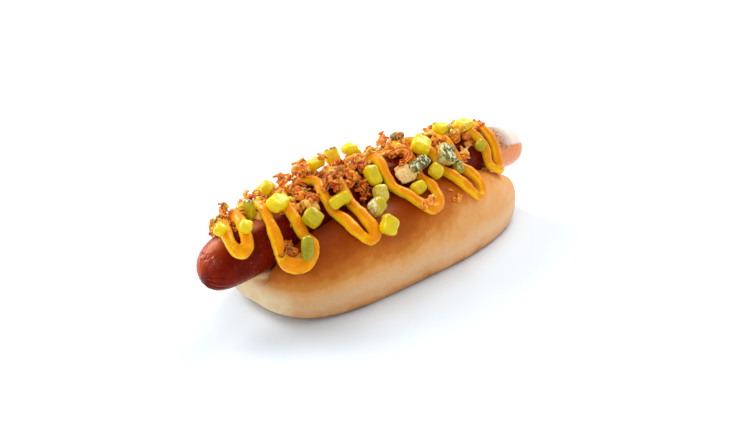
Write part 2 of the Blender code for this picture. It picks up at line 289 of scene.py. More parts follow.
bunLook = {
    "levels": 3,
    "swellSize": 26 * mm, "swellHeight": 0.9 * mm,      # slow unevenness of the loaf
    "pitSize": 3.0 * mm, "pitHeight": 0.10 * mm,
    # creases in the crust, as (x, z) from and to in mm, width and depth in mm
    "creases": [((9, 39), (10.5, 31.5), 0.8, 0.4), ((7, 36), (8, 29), 0.7, 0.35),
                ((11.5, 36), (12.5, 32), 0.6, 0.2)],
    "creaseDepth": 0.35,                                # depth of a full crease, in mm
    # the rim falls away towards the tip on the right: how far, and over which stretch of x and z
    "fall": 3.6 * mm, "fallAlong": (65 * mm, 77 * mm), "fallUp": (6 * mm, 22 * mm),
    # how far the crumb swells against the sausage, and from which distance to it
    "snug": 0.5 * mm, "snugReach": (3.5 * mm, 1.2 * mm),
    "crumbReach": (4.0 * mm, 1.5 * mm), "crumbWidth": (9 * mm, 5 * mm), "crumbTop": (26, 22),
    # how much browner or paler the crust is, by x in mm, on the near side and on the far side; on the near
    # side this is partly browning and partly painted shade at the left and painted light at the right
    "height": 39,
    "nearBrown": 0.10, "nearBrownAlong": (-45, -65), "nearPale": 0.27, "nearPaleAlong": (-30, 38),
    "farBrown": 0.12, "farBrownMiddle": 20, "farBrownReach": 30, "farPale": 0.20, "farPaleAlong": (20, 70),
    "brownUp": (12, 20), "paleUp": (14, 28),            # and between which heights, in mm
    # crust colour by how much it was baked, from the base upwards
    "bakeStops": [(0.0, paint(176, 104, 42)), (0.05, paint(206, 140, 78)), (0.12, paint(224, 168, 114)),
                  (0.24, paint(232, 184, 136)), (0.34, paint(232, 178, 122)), (0.42, paint(232, 166, 98)),
                  (0.52, paint(218, 140, 60)), (0.62, paint(200, 110, 30)), (0.74, paint(174, 80, 8)),
                  (0.88, paint(156, 60, 1)), (1.0, paint(140, 48, 0))],
    # painted shade for the creases
    "creased": paint(150, 60, 20),
    "torn": paint(250, 226, 180),
    "crumb": paint(250, 212, 150),
}


def crustMaterial():
    material, tree, surface = newMaterial(
        "crust", Roughness=0.5, Specular_IOR_Level=0.25, Specular_Tint=(1.0, 0.72, 0.42, 1.0),
        Subsurface_Weight=0.1, Subsurface_Radius=(1.0, 0.45, 0.2), Subsurface_Scale=1.6 * mm)
    where = millimetres(tree)
    broad = noise(tree, where, 16, 3.0)
    mottle = noise(tree, where, 4.0, 4.0, 0.6)
    fine = noise(tree, where, 0.8, 5.0, 0.65)
    bake = calc(tree, "ADD", attribute(tree, "bake"), spread(tree, broad, 0.25, 0.75, -0.045, 0.045))
    bake = calc(tree, "ADD", bake, spread(tree, mottle, 0.2, 0.8, -0.02, 0.02))
    baked = colourBand(tree, bake, bunLook["bakeStops"])
    # painted shade darkens the creases
    creased = calc(tree, "MULTIPLY", attribute(tree, "crease"), 0.5)
    baked = blendColours(tree, creased, baked, bunLook["creased"])
    torn = calc(tree, "MULTIPLY", attribute(tree, "torn"), spread(tree, mottle, 0.3, 0.65, 0.55, 1.0))
    baked = blendColours(tree, torn, baked, bunLook["torn"])
    speckle = spread(tree, fine, 0.35, 0.7, 0.95, 1.04)
    # painted light and shade, times a fine speckle: the crust darker at the left end and on the far side,
    # lighter towards the right
    baked = shadeBy(tree, baked, calc(tree, "MULTIPLY", attribute(tree, "tone"), speckle))
    # painted shade in the pores of the crumb
    holes = spread(tree, noise(tree, where, 1.6, 4.0, 0.7), 0.35, 0.65, 0.75, 1.05)
    crumb = shadeBy(tree, bunLook["crumb"], holes)
    tree.links.new(blendColours(tree, attribute(tree, "crumb"), baked, crumb), surface.inputs["Base Color"])
    tree.links.new(spread(tree, mottle, 0.3, 0.7, 0.44, 0.58), surface.inputs["Roughness"])
    bumps(tree, surface, (noise(tree, where, 5.5, 3.0, 0.55), 0.30),
          (noise(tree, where, 1.3, 3.0, 0.6), 0.05), (noise(tree, where, 0.35, 2.0), 0.012))
    return material


def creaseBun(bun, place):
    crease = np.zeros(len(place))
    for (x0, z0), (x1, z1), width, depth in bunLook["creases"]:
        start, along = np.array((x0, z0)) * mm, np.array((x1 - x0, z1 - z0)) * mm
        flat = place[:, (0, 2)] - start
        share = np.clip(flat @ along / (along @ along), 0, 1)
        away = np.linalg.norm(flat - share[:, None] * along, axis=1)
        taper = np.sin(math.pi * np.clip(share, 0.04, 0.96))
        mark = depth / bunLook["creaseDepth"] * taper * np.exp(-(away / (width * mm)) ** 2)
        crease = np.maximum(crease, mark * (place[:, 1] < 0))
    inflate(bun, -bunLook["creaseDepth"] * mm, weights(bun, "creaseDepth", crease))
    paintValues(bun, "crease", crease)


def bakeBun(bun, place):
    # how brown the crust is: darkest near the split; on the near side darker at the left, partly browning
    # and partly painted shade, and lighter to the right, partly browning and partly painted light
    x, y, z = (place / mm).T
    near = y < 0
    farHump = np.exp(-((x - bunLook["farBrownMiddle"]) / bunLook["farBrownReach"]) ** 2)
    browner = np.where(near, bunLook["nearBrown"] * ramp(x, *bunLook["nearBrownAlong"]),
                       bunLook["farBrown"] * farHump)
    paler = np.where(near, bunLook["nearPale"] * ramp(x, *bunLook["nearPaleAlong"]),
                     bunLook["farPale"] * ramp(x, *bunLook["farPaleAlong"]))
    bake = z / bunLook["height"]
    bake += browner * ramp(z, *bunLook["brownUp"])
    bake -= paler * ramp(z, *bunLook["paleUp"])
    # painted light and shade: the crust darker at the left end and on the far side, lighter towards the
    # right
    tone = 0.8 + 0.18 * ramp(x, -78, -35) + 0.12 * ramp(x, -35, 50) - 0.16 * ramp(y, 4, 16)
    paintValues(bun, "tone", tone)
    paintValues(bun, "bake", bake)
    paintValues(bun, "torn", ramp(x, -77, -81.5) * ramp(z, 18, 10) * ramp(z, 2, 4))


def makeBun():
    bun = nodeCopy("bun", "splitBun")
    soften(bun, bunLook["levels"])
    lumps(bun, bunLook["swellSize"], bunLook["swellHeight"], 1)
    lumps(bun, bunLook["pitSize"], bunLook["pitHeight"])
    place = points(bun)
    place[:, 2] -= (bunLook["fall"] * ramp(place[:, 0], *bunLook["fallAlong"])
                    * ramp(place[:, 2], *bunLook["fallUp"]))
    bun.data.vertices.foreach_set("co", place.astype(np.float32).ravel())
    creaseBun(bun, place)
    bakeBun(bun, place)
    sausageSkin = skinTree(nodes["sausage"])
    near = np.array([sausageSkin.find_nearest(Vector(p))[3] for p in place])
    inflate(bun, bunLook["snug"], weights(bun, "snug", ramp(near, *bunLook["snugReach"])))
    inside = ramp(np.abs(place[:, 1]), *bunLook["crumbWidth"])
    paintValues(bun, "crumb", ramp(near, *bunLook["crumbReach"]) * inside
                * ramp(place[:, 2] / mm, *bunLook["crumbTop"]))
    bun.vertex_groups.clear()
    # keep the base flat on the table
    low = points(bun)
    low[:, 2] = np.maximum(low[:, 2], 0.0)
    bun.data.vertices.foreach_set("co", low.astype(np.float32).ravel())
    finishPiece(bun, crustMaterial(), "bun_crust", "bun")
    return bun


bun = makeBun()
print("bun:", len(bun.data.polygons), "faces")


sausageLook = {
    "levels": 3,
    "lumpSize": 16 * mm, "lumpHeight": 0.5 * mm,
    "wrinkleSize": 2.4 * mm, "wrinkleHeight": 0.10 * mm,
    "folds": 17, "foldDepth": 0.6 * mm, "foldReach": 9 * mm,    # creases fanning out from the left tip
    "dentSize": 1.7 * mm, "dentHeight": 0.9 * mm,
    "arch": (6.0, 37.4, 575.0),             # crest x and z, and radius of the arch, in mm
    # the orange glow colour is painted light on the left tip
    "dark": paint(96, 8, 1), "mid": paint(126, 22, 3), "glow": paint(204, 70, 0),
    # the pale colour is partly painted light, the pinkish one is a random pale mottle and painted
    # highlights, and the near-white one a painted highlight
    "pale": paint(242, 146, 74), "paleMottleAndHighlight": paint(214, 128, 84), "tipHighlightWhite": paint(255, 236, 220),
    # the brown and pale crinkle colours are painted shade in the hollows and painted glints on the ridges
    "crackle": paint(188, 84, 40), "floury": paint(252, 206, 172),
}


def sausageMaterial():
    material, tree, surface = newMaterial(
        "sausageSkin", Specular_IOR_Level=0.5, IOR=1.22, Specular_Tint=(1.0, 0.4, 0.15, 1.0),
        Coat_Roughness=0.08, Subsurface_Weight=0.15, Subsurface_Radius=(1.0, 0.2, 0.08),
        Subsurface_Scale=1.0 * mm)
    where = millimetres(tree)
    parts = addNode(tree, "SeparateXYZ", {"Vector": where})
    cloud = noise(tree, where, 9.0, 4.0, 0.6)
    fine = noise(tree, where, 1.1, 5.0, 0.7)
    colour = blendColours(tree, spread(tree, cloud, 0.35, 0.7), sausageLook["dark"], sausageLook["mid"])
    colour = blendColours(tree, spread(tree, fine, 0.55, 0.78, 0.0, 0.25), colour, sausageLook["paleMottleAndHighlight"])
    # painted light: an orange glow on the left tip
    colour = blendColours(tree, attribute(tree, "glow"), colour, sausageLook["glow"])
    # painted highlights: pinkish patches on the top near the left end and on the left tip
    rubbed = calc(tree, "MULTIPLY", attribute(tree, "rubbed"), spread(tree, cloud, 0.35, 0.6, 0.5, 1.0))
    colour = blendColours(tree, rubbed, colour, sausageLook["paleMottleAndHighlight"])
    # paler towards the right tip: partly the skin's own colour, partly painted light
    along = calc(tree, "ADD", parts.outputs["X"], spread(tree, cloud, 0.3, 0.7, -2.0, 2.0))
    toRight = spread(tree, along, 52.0, 60.0)
    colour = blendColours(tree, calc(tree, "MULTIPLY", toRight, 0.95), colour, sausageLook["pale"])
    grain = noise(tree, where, 1.1, 4.0, 0.75, 1.4)
    # on the crinkles: painted shade in the hollows and painted glints on the ridges, following the grain
    # that raises their bumps
    crackle, pale, floury = (sausageLook[name] for name in ("crackle", "pale", "floury"))
    crackled = colourBand(tree, grain, [(0.0, crackle), (0.42, crackle), (0.5, pale), (0.58, floury),
                                        (1.0, floury)])
    colour = blendColours(tree, attribute(tree, "crinkled"), colour, crackled)
    # painted highlight: a near-white patch on the right tip
    fatty = calc(tree, "MULTIPLY", attribute(tree, "fatty"), spread(tree, grain, 0.3, 0.45, 0.7, 1.0))
    colour = blendColours(tree, fatty, colour, sausageLook["tipHighlightWhite"])
    tree.links.new(colour, surface.inputs["Base Color"])
    tree.links.new(spread(tree, fine, 0.3, 0.7, 0.20, 0.34), surface.inputs["Roughness"])
    wet = spread(tree, attribute(tree, "sheen"), 0.0, 1.0, 0.03, 0.6)
    tree.links.new(wet, surface.inputs["Coat Weight"])
    crinkles = calc(tree, "MULTIPLY", spread(tree, grain, 0.35, 0.65), attribute(tree, "crinkled"))
    bumps(tree, surface, (noise(tree, where, 3.2, 3.0, 0.6, 0.6), 0.18), (crinkles, 0.5), (fine, 0.03))
    return material


def makeSausage():
    sausage = nodeCopy("sausage", "longSausage")
    soften(sausage, sausageLook["levels"])
    place = points(sausage)
    crestX, crestZ, archRadius = (value * mm for value in sausageLook["arch"])
    axisZ = crestZ - (place[:, 0] - crestX) ** 2 / (2 * archRadius)
    angle = np.arctan2(place[:, 1], place[:, 2] - axisZ)
    fromTip = place[:, 0] - place[:, 0].min()
    low = ramp(np.degrees(np.abs(angle)), 62, 100)
    # skin drawn together at the left tip, in folds that fade upwards
    wobble = 0.6 * np.sin(3 * angle + 1.0) + 0.4 * np.sin(5 * angle + fromTip / mm * 0.5)
    fold = np.abs(np.sin(0.5 * sausageLook["folds"] * angle + wobble)) ** 0.6
    fade = ramp(fromTip, sausageLook["foldReach"], 3.0 * mm) * ramp(fromTip, 0.1 * mm, 1.2 * mm)
    folded = (1 - fold) * fade * (0.12 + 0.88 * low)
    inflate(sausage, -sausageLook["foldDepth"], weights(sausage, "foldDepth", folded))
    dented = (ramp(fromTip, 6 * mm, 3 * mm) * ramp(fromTip, 0.6 * mm, 1.6 * mm)
              * ramp(np.degrees(np.abs(angle)), 75, 40))
    dents = weights(sausage, "dentDepth", dented)
    lumps(sausage, sausageLook["dentSize"], sausageLook["dentHeight"], 1, dents)
    lumps(sausage, sausageLook["lumpSize"], sausageLook["lumpHeight"], 1)
    lumps(sausage, sausageLook["wrinkleSize"], sausageLook["wrinkleHeight"], 3)
    sausage.vertex_groups.clear()
    # what each stretch of the skin looks like: x in mm, lean towards the near side in degrees
    x, side, lean = place[:, 0] / mm, np.degrees(np.abs(angle)), np.degrees(-angle)
    # painted light: an orange glow on the upper side of the left tip
    glow = ramp(fromTip, 14 * mm, 3 * mm) * ramp(-lean, -70, 20) * ramp(-lean, 170, 120)
    paintValues(sausage, "glow", 0.6 * glow)
    # painted highlights: a pinkish patch along the top near the left end, and one on the left tip
    rubbed = ramp(x, -92, -86) * ramp(x, -66, -72) * ramp(lean, -30, -15) * ramp(lean, 36, 22)
    rubbed = np.maximum(rubbed, 0.8 * np.exp(-((x + 99.5) / 3.0) ** 2 - ((lean + 2) / 18) ** 2))
    paintValues(sausage, "rubbed", rubbed)
    # crinkles near the right tip: bumps, with painted shade in the hollows and painted glints on the ridges
    paintValues(sausage, "crinkled", 0.9 * ramp(x, 57, 60) * ramp(x, 77, 69) * ramp(side, 86, 60))
    leftSheen = 0.06 * ramp(fromTip, 16 * mm, 8 * mm) + 0.6 * dented
    paintValues(sausage, "sheen", np.maximum(0.7 * ramp(x, 56, 62), leftSheen))
    # painted highlight: a near-white patch on the upper near side of the right tip
    fatty = ramp(x, 66, 72) * ramp(x, 88, 84) * ramp(lean, 70, 63) * ramp(lean, -35, 5)
    paintValues(sausage, "fatty", fatty)
    finishPiece(sausage, sausageMaterial(), "sausage_skin", "sausage")
    return sausage


sausage = makeSausage()
print("sausage:", len(sausage.data.polygons), "faces")


mustardLook = {
    # where more came out: (x, y), how far around, and how much thicker, in mm
    "blobs": [((-77, -20), 5, 1.0), ((-70, -22), 4, 0.8), ((-94, -11), 5, 0.3), ((-41, -27), 5, 0.6),
              ((-84, 9), 5, 0.6)],
    "swell": 0.2 * mm, "voxel": 0.5 * mm, "smoothing": 8,
    "unevenSize": 8 * mm, "unevenHeight": 1.5 * mm,
    "rippleSize": 2.5 * mm, "rippleHeight": 0.3 * mm,
    # the lighter colour is painted light on the flanks and a random speckle, the deeper one painted shade
    # on the crown
    "body": paint(254, 174, 0), "deep": paint(240, 142, 0), "light": paint(255, 200, 24),
    "rim": (0.1, 0.85),     # how squarely the flank and the crown face away from the food: painted light on the thin flanks, painted shade on the thick crown
}


def mustardMaterial():
    material, tree, surface = newMaterial(
        "mustardCream", Specular_IOR_Level=0.6, Specular_Tint=(1.0, 0.8, 0.12, 1.0),
        Subsurface_Weight=0.3, Subsurface_Radius=(1.0, 0.55, 0.05), Subsurface_Scale=0.9 * mm,
        Coat_Weight=0.05, Coat_Roughness=0.08)
    where = millimetres(tree)
    cloud = noise(tree, where, 5.0, 3.0, 0.55)
    fine = noise(tree, where, 0.7, 3.0, 0.6)
    patches = spread(tree, cloud, 0.3, 0.7, -0.35, 0.3)
    # painted light on the flanks and painted shade on the crown, shifted in random patches
    crown = calc(tree, "ADD", attribute(tree, "crown"), patches, clamp=True)
    colour = blendColours(tree, crown, mustardLook["light"], mustardLook["body"])
    colour = blendColours(tree, spread(tree, crown, 0.5, 1.0), colour, mustardLook["deep"])
    colour = blendColours(tree, spread(tree, fine, 0.5, 0.8, 0.0, 0.35), colour, mustardLook["light"])
    tree.links.new(colour, surface.inputs["Base Color"])
    tree.links.new(spread(tree, cloud, 0.3, 0.7, 0.22, 0.38), surface.inputs["Roughness"])
    bumps(tree, surface, (noise(tree, where, 1.6, 2.0), 0.12), (fine, 0.03))
    return material


def makeMustard():
    mustard = nodeCopy("mustard", "mustardBead")
    soften(mustard, 2)
    inflate(mustard, mustardLook["swell"])
    lumps(mustard, mustardLook["unevenSize"], mustardLook["unevenHeight"], 1)
    for (x, y), reach, height in mustardLook["blobs"]:
        flat = points(mustard)[:, :2] / mm
        near = np.exp(-((flat[:, 0] - x) ** 2 + (flat[:, 1] - y) ** 2) / reach ** 2)
        inflate(mustard, height * mm, weights(mustard, f"blob{x:.0f}", near))
    mustard.vertex_groups.clear()
    shape(mustard, "REMESH", mode="VOXEL", voxel_size=mustardLook["voxel"], use_smooth_shade=True)
    shape(mustard, "SMOOTH", factor=0.5, iterations=mustardLook["smoothing"])
    lumps(mustard, mustardLook["rippleSize"], mustardLook["rippleHeight"], 1)
    under = skinTree(bun, sausage)
    place, facing = points(mustard), normals(mustard)
    below = np.array([under.find_nearest(Vector(p))[0] for p in place])
    outward = (place - below) / np.linalg.norm(place - below, axis=1)[:, None]
    # how squarely each point faces away from the food below, for the painted light on the flanks and the
    # painted shade on the crown
    paintValues(mustard, "crown", ramp((outward * facing).sum(axis=1), *mustardLook["rim"]))
    finishPiece(mustard, mustardMaterial(), "mustard", "mustard")
    return mustard


mustard = makeMustard()
print("mustard:", len(mustard.data.polygons), "faces")


pickleLook = {
    "lumpSize": 4.5 * mm, "lumpHeight": 1.0 * mm, "grainSize": 1.2 * mm, "grainHeight": 0.06 * mm,
    "swell": 0.55 * mm, "core": (0.0, 22 * mm),     # pieces settle towards this line, given as y and z
    "sink": {4: 2.4, 17: 1.2, 18: 1.2, 21: 0.9, 22: 1.0, 23: 1.5, 24: 1.6, 16: 0.3}, "usualSink": 0.7,
    "rounding": {16: 1, 17: 1, 8: 2, 19: 2, 20: 2, 10: 2, 3: 1, 7: 2}, "usualRounding": 3,
    "lemon": paint(246, 214, 0), "olive": paint(146, 138, 4), "seed": paint(242, 236, 208),
    "skin": paint(62, 58, 18), "moss": paint(132, 122, 26),
    # how olive each piece is, 0 to 1
    "oliveness": {3: 0.65, 5: 0.3, 6: 0.7, 7: 0.95, 11: 0.4, 13: 0.4, 14: 0.45, 15: 0.5, 16: 0.3, 18: 0.8,
                  19: 0.4, 20: 0.4, 21: 0.85, 22: 0.55, 25: 0.75, 26: 0.85},
    "usualOliveness": 0.15,
    # which way the streaky rind of a piece faces, and how far round it reaches
    "rind": {3: ((0, 0, 1), 0.6), 9: ((0, 0, 1), 0.6), 18: ((-0.5, -0.5, 0.7), 0.25),
             21: ((-0.4, -0.6, 0.6), 0.1), 22: ((0.2, -0.8, 0.5), 0.45), 23: ((0.9, -0.3, 0.2), 0.4),
             26: ((0, 0, 1), 0.5)},
    # pieces cut from the seedy middle
    "seedy": {14: 0.3, 15: 1.0, 18: 0.9, 21: 0.7, 22: 0.7}, "halfSeedy": (15, 18),
}


def pickleMaterial():
    material, tree, surface = newMaterial(
        "pickleFlesh", Specular_IOR_Level=0.45, Specular_Tint=(1.0, 1.0, 0.5, 1.0),
        Subsurface_Weight=0.55, Subsurface_Radius=(1.0, 0.9, 0.06), Subsurface_Scale=2.6 * mm,
        Coat_Weight=0.2, Coat_Roughness=0.06)
    where = millimetres(tree)
    cloud = noise(tree, where, 6.0, 2.0, 0.5)
    fine = noise(tree, where, 0.6, 3.0, 0.6)
    patches = spread(tree, cloud, 0.3, 0.7, -0.14, 0.14)
    oliveness = calc(tree, "ADD", attribute(tree, "olive"), patches, clamp=True)
    colour = blendColours(tree, oliveness, pickleLook["lemon"], pickleLook["olive"])
    seeds = noise(tree, where, 1.3, 3.0, 0.65, 1.0)
    seedy = calc(tree, "MULTIPLY", attribute(tree, "seedy"), spread(tree, seeds, 0.48, 0.56))
    colour = blendColours(tree, seedy, colour, pickleLook["seed"])
    # the rind: dark streaks, moss green and pale streaks side by side; the pale streaks, in the seed
    # colour, are painted glints
    drawnOut = {"Vector": where, "Scale": (1.0, 1.0, 0.24), "Rotation": (0.2, 0.3, 0.0)}
    streak = noise(tree, addNode(tree, "Mapping", drawnOut).outputs["Vector"], 1.5, 3.0, 0.6, 0.8)
    skin, moss, seed = (pickleLook[name] for name in ("skin", "moss", "seed"))
    peel = colourBand(tree, streak, [(0.0, skin), (0.44, skin), (0.49, moss), (0.53, moss), (0.58, seed),
                                     (1.0, seed)])
    colour = blendColours(tree, calc(tree, "MULTIPLY", attribute(tree, "rind"), 0.95), colour, peel)
    tree.links.new(colour, surface.inputs["Base Color"])
    tree.links.new(spread(tree, fine, 0.3, 0.7, 0.14, 0.28), surface.inputs["Roughness"])
    ridges = calc(tree, "MULTIPLY", attribute(tree, "rind"), streak)
    bumps(tree, surface, (noise(tree, where, 1.9, 2.0), 0.20), (seedy, 0.15), (ridges, 0.5), (fine, 0.03))
    return material


def paintPickle(dice, olive, seedy, rind):
    count = len(dice.data.vertices)
    for name, value in (("olive", olive), ("seedy", seedy), ("rind", rind)):
        paintValues(dice, name, np.full(count, value) if np.isscalar(value) else value)


def makePickles():
    material = pickleMaterial()
    made = []
    for number in range(1, 30):
        nodeName = f"pickle_{number:02d}"
        dice = nodeCopy(nodeName, f"pickleDice{number:02d}")
        soften(dice, 1)
        rounds = pickleLook["rounding"].get(number, pickleLook["usualRounding"])
        shape(dice, "SMOOTH", factor=0.5, iterations=rounds)
        soften(dice, 2)
        inflate(dice, pickleLook["swell"])
        lumps(dice, pickleLook["lumpSize"], pickleLook["lumpHeight"], 1)
        lumps(dice, pickleLook["grainSize"], pickleLook["grainHeight"])
        place = points(dice)
        inwards = np.array((0.0, *pickleLook["core"])) - place.mean(axis=0) * (0, 1, 1)
        inwards *= pickleLook["sink"].get(number, pickleLook["usualSink"]) * mm / np.linalg.norm(inwards)
        dice.data.transform(Matrix.Translation(inwards))
        rind = 0.0
        if number in pickleLook["rind"]:
            way, reach = pickleLook["rind"][number]
            rind = ramp(normals(dice) @ np.array(way) / np.linalg.norm(way), reach, reach + 0.25)
        seedy = pickleLook["seedy"].get(number, 0.0)
        if number in pickleLook["halfSeedy"]:
            across = (place - place.mean(axis=0)) @ np.array((0.8, -0.6, 0))
            seedy = seedy * ramp(across, 1.0 * mm, -0.6 * mm)
        olive = pickleLook["oliveness"].get(number, pickleLook["usualOliveness"])
        paintPickle(dice, olive, seedy, rind)
        finishPiece(dice, material, "pickle", nodeName)
        made.append(dice)
    return made


pickles = makePickles()
print("pickles:", len(pickles))


onionLook = {
    "thickness": 0.65 * mm, "bubbleSize": 0.9 * mm, "bubbleHeight": 0.4 * mm,
    "knobs": (2.2 * mm, 1.6 * mm), "grains": (0.8 * mm, 0.5 * mm),      # size and height
    # tint stops from the palest batter to the darkest fried edge
    "tints": [(0.0, paint(252, 222, 156)), (0.25, paint(252, 182, 64)), (0.5, paint(238, 118, 20)),
              (0.75, paint(188, 58, 8)), (1.0, paint(100, 20, 2))],
    # painted light for the lighter edges of the scraps and the upper faces of the curled slice
    "rim": paint(255, 190, 84),
}


def onionMaterial():
    material, tree, surface = newMaterial(
        "friedOnion", Roughness=0.42, Specular_IOR_Level=0.35, Specular_Tint=(1.0, 0.66, 0.3, 1.0),
        Subsurface_Weight=0.2, Subsurface_Radius=(1.0, 0.5, 0.15), Subsurface_Scale=0.7 * mm,
        Coat_Weight=0.05, Coat_Roughness=0.2)
    where = millimetres(tree)
    cloud = noise(tree, where, 1.6, 4.0, 0.65)
    fine = noise(tree, where, 0.45, 3.0, 0.65)
    patches = spread(tree, cloud, 0.3, 0.7, -0.28, 0.28)
    tint = calc(tree, "ADD", attribute(tree, "tint"), patches, clamp=True)
    colour = colourBand(tree, tint, onionLook["tints"])
    # painted light: lighter ragged edges, and lighter upper faces on the curled slice
    rim = calc(tree, "MULTIPLY", attribute(tree, "rim"), 0.3)
    colour = blendColours(tree, rim, colour, onionLook["rim"])
    tree.links.new(colour, surface.inputs["Base Color"])
    tree.links.new(spread(tree, fine, 0.3, 0.7, 0.32, 0.55), surface.inputs["Roughness"])
    bumps(tree, surface, (cloud, 0.25), (fine, 0.08))
    return material


def baseFlake(number, length, width, curl, columns=6, rows=4, levels=1, bites=0.2):
    # a curled scrap with a bitten outline, lying at the origin with its length along X
    chance = random.Random(100 + number)
    bpy.ops.object.select_all(action="DESELECT")
    bpy.ops.mesh.primitive_grid_add(x_subdivisions=columns, y_subdivisions=rows, size=1.0,
                                    rotation=(math.pi / 2, 0, 0))
    flake = bpy.context.object
    flake.name = f"baseFlake{number}"
    flake.scale = (length * mm, width * mm, 1)
    bpy.ops.object.transform_apply(location=False, rotation=True, scale=True)
    bpy.ops.object.mode_set(mode="EDIT")
    bpy.ops.mesh.select_all(action="SELECT")
    bpy.ops.transform.vertex_random(offset=0.12 * width * mm, uniform=0.4, normal=0.6, seed=number)
    bpy.ops.object.mode_set(mode="OBJECT")
    selectNothing()
    place = points(flake)
    for face in flake.data.polygons:
        centre = sum((Vector(place[k]) for k in face.vertices), Vector()) / len(face.vertices)
        out = max(abs(centre.x) / (0.5 * length * mm), abs(centre.z) / (0.5 * width * mm))
        face.select = out > 0.6 and chance.random() < bites
    bpy.ops.object.mode_set(mode="EDIT")
    bpy.ops.mesh.delete(type="FACE")
    bpy.ops.mesh.select_all(action="SELECT")
    bpy.ops.mesh.delete_loose()
    bpy.ops.object.mode_set(mode="OBJECT")
    shape(flake, "SIMPLE_DEFORM", deform_method="BEND", deform_axis="Z", angle=math.radians(curl))
    twist = math.radians(chance.uniform(-50, 50))
    shape(flake, "SIMPLE_DEFORM", deform_method="TWIST", deform_axis="X", angle=twist)
    # the ragged edge is known before the scrap gets its thickness
    edgeUse = {}
    for face in flake.data.polygons:
        for key in face.edge_keys:
            edgeUse[key] = edgeUse.get(key, 0) + 1
    onEdge = {k for key, used in edgeUse.items() if used == 1 for k in key}
    count = len(flake.data.vertices)
    # the ragged edge gets painted light
    paintValues(flake, "rim", [1.0 if k in onEdge else 0.0 for k in range(count)])
    shape(flake, "SOLIDIFY", thickness=onionLook["thickness"], offset=0.0)
    if levels:
        soften(flake, levels)
        lumps(flake, onionLook["bubbleSize"], onionLook["bubbleHeight"], 1)
    pickOnly(flake)
    flake.rotation_euler = (-math.pi / 2, 0, 0)
    bpy.ops.object.transform_apply(location=False, rotation=True, scale=False)
    return flake


def placedCopy(base, matrix, tint, name):
    piece = base.copy()
    piece.data = base.data.copy()
    piece.name = name
    bpy.context.scene.collection.objects.link(piece)
    piece.data.transform(matrix)
    paintValues(piece, "tint", np.full(len(piece.data.vertices), tint))
    return piece


def joined(things, name):
    bpy.ops.object.select_all(action="DESELECT")
    for thing in things:
        thing.select_set(True)
    bpy.context.view_layer.objects.active = things[0]
    bpy.ops.object.join()
    things[0].name = things[0].data.name = name
    return things[0]


def layFlat(normal, chance, tilt):
    # a turn that lays a scrap on a surface, at any heading, lifted at one side by up to tilt degrees
    heading = Matrix.Rotation(chance.uniform(0, 2 * math.pi), 4, "Z")
    lift = Matrix.Rotation(math.radians(chance.uniform(-tilt, tilt)), 4, "X")
    return normal.to_track_quat("Z", "Y").to_matrix().to_4x4() @ lift @ heading


# how each onion lump looks: scraps on its core, their tints and sizes, and how far the core is drawn in
onionKinds = {
    "flaky": {"flakes": 12, "tint": (0.4, 0.95), "size": (0.8, 1.3), "core": -0.9 * mm},
    "pink": {"flakes": 9, "tint": (0.2, 0.7), "size": (0.7, 1.2), "core": -0.7 * mm},
    "tan": {"flakes": 10, "tint": (0.15, 0.55), "size": (0.7, 1.15), "core": -0.8 * mm},
    "orange": {"flakes": 9, "tint": (0.3, 0.6), "size": (0.6, 1.05), "core": -0.6 * mm},
    "pale": {"flakes": 10, "tint": (-0.16, 0.04), "size": (0.6, 1.0), "core": 0.5 * mm},
    "flat": {"flakes": 6, "tint": (0.1, 0.5), "size": (0.5, 0.9), "core": 0.1 * mm},
    "small": {"flakes": 7, "tint": (0.3, 0.6), "size": (0.4, 0.65), "core": -0.4 * mm},
}
onionOf = {1: "flaky", 2: "pink", 3: "flaky", 4: "flaky", 5: "flaky", 6: "orange", 8: "pale", 9: "flat",
           10: "pink", 11: "small", 12: "small", 13: "tan", 14: "tan", 15: "tan", 16: "flaky", 17: "tan",
           18: "flaky", 19: "orange"}
onionShift = {1: (1.0, 1.5, -1.5), 9: (0.0, 0.6, 0.6)}     # in mm; these settle on what they lie on
curledOnion = 7         # this one is a curled slice, with its rings side by side
curlLook = {
    "radius": 8.0 * mm, "thickness": 0.95 * mm,
    "rings": [(1.0, 0.55), (0.72, 0.4), (0.45, 0.6)],   # size and tint of each
    "step": (0.6 * mm, 0, -0.4 * mm),                   # from one ring to the next
    "shift": (-1.0, -3.0, -1.6), "tilt": 38, "swing": 8,
}


def makeOnions(bases):
    material = onionMaterial()
    made = []
    for number, kindName in onionOf.items():
        kind = onionKinds[kindName]
        chance = random.Random(500 + number)
        nodeName = f"onion_{number:02d}"
        lump = nodeCopy(nodeName, f"onionLump{number:02d}")
        soften(lump, 3)
        inflate(lump, kind["core"])
        lumps(lump, *onionLook["knobs"], 2)
        lumps(lump, *onionLook["grains"], 1)
        lump.data.transform(Matrix.Translation(Vector(onionShift.get(number, (0, 0, 0))) * mm))
        place, facing = points(lump), normals(lump)
        coreTint = 0.5 * sum(kind["tint"]) + (0.1 if kindName != "pale" else 0)
        paintValues(lump, "tint", np.full(len(place), coreTint))
        paintValues(lump, "rim", np.zeros(len(place)))
        parts = [lump]
        for k in range(kind["flakes"]):
            pick = chance.randrange(len(place))
            while facing[pick][2] < -0.2:
                pick = chance.randrange(len(place))
            spot, normal = Vector(place[pick]), Vector(facing[pick])
            matrix = (Matrix.Translation(spot) @ layFlat(normal, chance, 35)
                      @ Matrix.Scale(chance.uniform(*kind["size"]), 4))
            scrap = chance.choice(bases)
            parts.append(placedCopy(scrap, matrix, chance.uniform(*kind["tint"]), f"scrap{k}"))
        onion = joined(parts, f"onionLump{number:02d}")
        finishPiece(onion, material, "fried_onion", nodeName)
        made.append(onion)
    made.append(makeCurledSlice(material))
    return made


